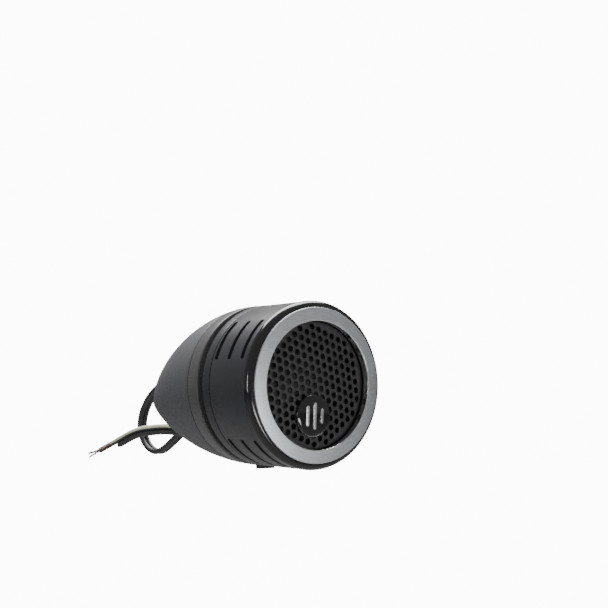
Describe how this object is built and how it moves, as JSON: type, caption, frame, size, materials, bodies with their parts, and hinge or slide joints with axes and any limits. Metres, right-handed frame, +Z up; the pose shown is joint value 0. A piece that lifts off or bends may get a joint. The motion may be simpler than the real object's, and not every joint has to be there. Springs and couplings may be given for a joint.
{
  "type": "car tweeter pod",
  "caption": "Surface-mount car tweeter: an aimable round capsule with a domed perforated grille and metal ring on a bullet-shaped pod, with a twin lead.",
  "frame": {"origin": "middle of the adhesive mounting face on the flat side of the pod", "axes": "+Y out of the mounting face into the dash or pillar, +Z up; the capsule's front axis is level and points along (0.866, -0.5, 0)"},
  "size_m": [0.1159, 0.0805, 0.0496],
  "materials": {
    "rim_grey": "satin dark grey moulded plastic",
    "pod_grey": "fine matte dark grey moulded plastic",
    "inner_black": "plain black moulded plastic",
    "foam": "black closed-cell adhesive foam",
    "steel": "zinc-plated steel",
    "rubber": "black rubber",
    "cord_vinyl": "dark grey flexible vinyl, one half with a cream stripe",
    "tinned": "tinned stranded copper",
    "acetal": "natural black acetal, slightly waxy",
    "satin_black": "satin black moulded plastic",
    "gloss_black": "gloss black plastic",
    "aluminium": "fine brushed aluminium",
    "grille_steel": "black powder-coated perforated steel",
    "silver": "bright silver metal",
    "motor_steel": "zinc-plated motor steel",
    "nickel": "nickel-plated magnet",
    "felt": "grey felt",
    "silk": "coated black silk",
    "board": "green terminal board",
    "brass": "brass lug",
    "former": "amber polyimide former",
    "copper": "enamelled copper winding"
  },
  "bodies": {
    "pod": {"pod_rim": "rim_grey", "pod_shell": "pod_grey", "retaining_ring": "inner_black", "base_plate": "inner_black", "mounting_pad": "foam", "base_screw_1": "steel", "base_screw_2": "steel", "strain_relief": "rubber", "pod_lead": "rubber", "cord": "cord_vinyl", "lead_tip_plus": "tinned", "lead_tip_minus": "tinned"},
    "swivel": {"swivel_ring": "acetal", "friction_ring": "rubber", "pivot_pin_upper": "steel", "pivot_pin_lower": "steel", "pivot_lug": "inner_black"},
    "capsule": {"neck_cover": "satin_black", "capsule_sleeve": "satin_black", "front_bezel": "gloss_black", "trim_ring": "aluminium", "grille": "grille_steel", "badge": "gloss_black", "badge_bar_1": "silver", "badge_bar_2": "silver", "badge_bar_3": "silver", "face_plate": "inner_black", "yoke_cup": "motor_steel", "magnet": "nickel", "top_plate": "motor_steel", "damping_pad": "felt", "surround": "silk", "terminal_board": "board", "terminal_plus": "brass", "terminal_minus": "brass", "cover_screw_1": "steel", "cover_screw_2": "steel", "cover_screw_3": "steel", "capsule_lead": "rubber"},
    "diaphragm": {"dome": "silk", "voice_coil_former": "former", "voice_coil_winding": "copper"}
  },
  "joints": [
    {"name": "capsule_turn", "type": "hinge", "parent": "pod", "child": "swivel", "pos_m": [0.01752, -0.02325, 0], "axis": [0.866, -0.5, 0], "range_deg": [-90, 90]},
    {"name": "capsule_tilt", "type": "hinge", "parent": "swivel", "child": "capsule", "pos_m": [0.01752, -0.02325, 0], "axis": [0, 0, 1], "range_deg": [-5, 5]},
    {"name": "dome_travel", "type": "slide", "parent": "capsule", "child": "diaphragm", "axis": [0.866, -0.5, 0], "range_m": [-0.0003, 0.0003], "stiffness_N_per_m": 800, "deforming": ["surround"]}
  ]
}
